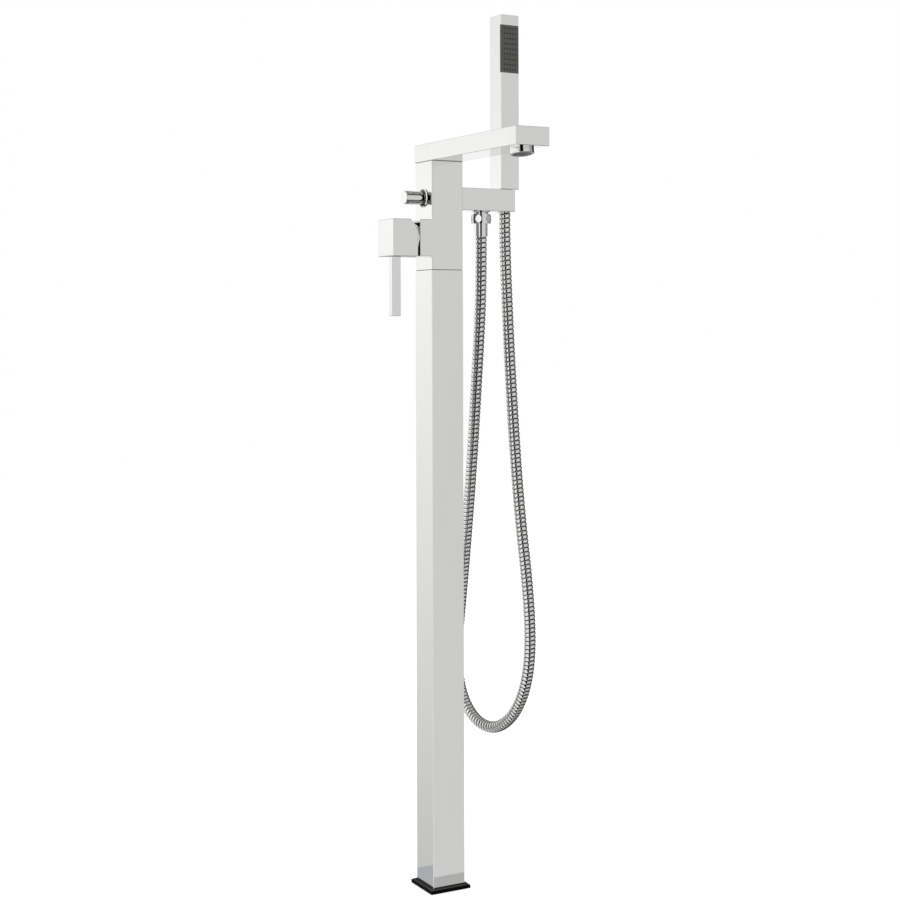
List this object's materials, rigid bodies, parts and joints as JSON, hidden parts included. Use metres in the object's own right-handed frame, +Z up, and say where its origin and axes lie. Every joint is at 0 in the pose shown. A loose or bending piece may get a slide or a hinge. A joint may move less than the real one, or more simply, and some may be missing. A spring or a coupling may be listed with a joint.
{
  "type": "floor standing bath filler",
  "caption": "Floor standing bath filler: square column, mixer with lever and pull diverter, flat spout, and a hand shower on a ribbed hose in an arm.",
  "frame": {"origin": "on the floor, at the centre of the column's four floor bolts", "axes": "+Z up; the spout points along -Y, the lever and the diverter knob along -X, the arm of the hand shower along +X"},
  "size_m": [0.1919, 0.3159, 1.1424],
  "materials": {
    "polished_chrome": "polished chrome on brass",
    "hose_metal": "polished stainless steel, double wound ribs",
    "black_rubber": "moulded black rubber with a slight sheen",
    "seal_rubber": "matt black seal rubber",
    "bare_brass": "machined brass",
    "copper": "drawn copper",
    "steel": "zinc plated steel",
    "white_plastic": "moulded engineering plastic",
    "ceramic": "lapped alumina ceramic",
    "grey_plastic": "grey plastic plug",
    "mesh_plastic": "dark grey moulded mesh",
    "spray_plate_dark": "dark grey moulded plastic, satin",
    "nozzle_rubber": "dark silicone"
  },
  "bodies": {
    "root": {"base_gasket": "black_rubber", "foot_block": "bare_brass", "column_sleeve": "polished_chrome", "column_grub_screws": "steel", "tie_rods": "steel", "tie_rod_nuts": "steel", "hot_riser": "copper", "cold_riser": "copper", "riser_o_rings": "seal_rubber", "column_top_seal": "black_rubber", "mixer_body": "polished_chrome", "cartridge_housing": "white_plastic", "cartridge_base_seals": "seal_rubber", "ceramic_disc_fixed": "ceramic", "cartridge_nut": "bare_brass", "cartridge_shroud": "polished_chrome", "diverter_rosette": "polished_chrome", "diverter_bush": "polished_chrome", "diverter_o_ring": "seal_rubber", "spout": "polished_chrome", "spout_nipple": "bare_brass", "spout_seal": "seal_rubber", "aerator_housing": "polished_chrome", "aerator_mesh": "mesh_plastic", "aerator_core": "white_plastic", "aerator_washer": "seal_rubber", "handset_arm": "polished_chrome", "arm_connector": "bare_brass", "arm_seal": "seal_rubber", "holder_liner": "white_plastic", "hose_outlet_nipple": "polished_chrome", "hose_nut": "polished_chrome", "hose_washer": "seal_rubber", "hose_ferrule": "polished_chrome", "shower_hose": "hose_metal"},
    "cartridge_turret": {"cartridge_carrier": "white_plastic", "cartridge_pin": "steel"},
    "moving_disc": {"ceramic_disc_moving": "ceramic"},
    "lever": {"cartridge_stem": "bare_brass", "lever_block": "polished_chrome", "lever_bar": "polished_chrome", "lever_grub_screw": "steel", "lever_screw_cap": "grey_plastic"},
    "diverter": {"diverter_spindle": "bare_brass", "diverter_washer": "seal_rubber", "diverter_knob": "polished_chrome"},
    "hose_end": {"hose_end_ferrule": "polished_chrome"},
    "handset": {"hose_end_washer": "seal_rubber", "hose_cone_nut": "polished_chrome", "handset_tail": "bare_brass", "handset_duct": "white_plastic", "spray_chamber": "white_plastic", "nozzle_mat": "nozzle_rubber", "spray_plate": "spray_plate_dark", "handset_shell": "polished_chrome"}
  },
  "joints": [
    {"name": "lever_temperature", "type": "hinge", "parent": "root", "child": "cartridge_turret", "pos_m": [-0.033, 0, 0.8435], "axis": [1, 0, 0], "range_deg": [-45, 45]},
    {"name": "lever_flow", "type": "hinge", "parent": "cartridge_turret", "child": "lever", "pos_m": [-0.033, 0, 0.8435], "axis": [0, 1, 0], "range_deg": [0, 20]},
    {"name": "disc_slide", "type": "slide", "parent": "cartridge_turret", "child": "moving_disc", "axis": [0, 0, 1], "range_m": [-0.0034, 0]},
    {"name": "diverter_pull", "type": "slide", "parent": "root", "child": "diverter", "axis": [-1, 0, 0], "range_m": [0, 0.006]},
    {"name": "handset_lift", "type": "slide", "parent": "root", "child": "hose_end", "axis": [0, 0, 1], "range_m": [0, 0.035]},
    {"name": "handset_swivel", "type": "hinge", "parent": "hose_end", "child": "handset", "pos_m": [0.0994, 0, 0.911], "axis": [0, 0, 1], "continuous": true}
  ],
  "couplings": [
    {"joint": "disc_slide", "follows": "lever_flow", "m_per_rad": -0.0096}
  ]
}
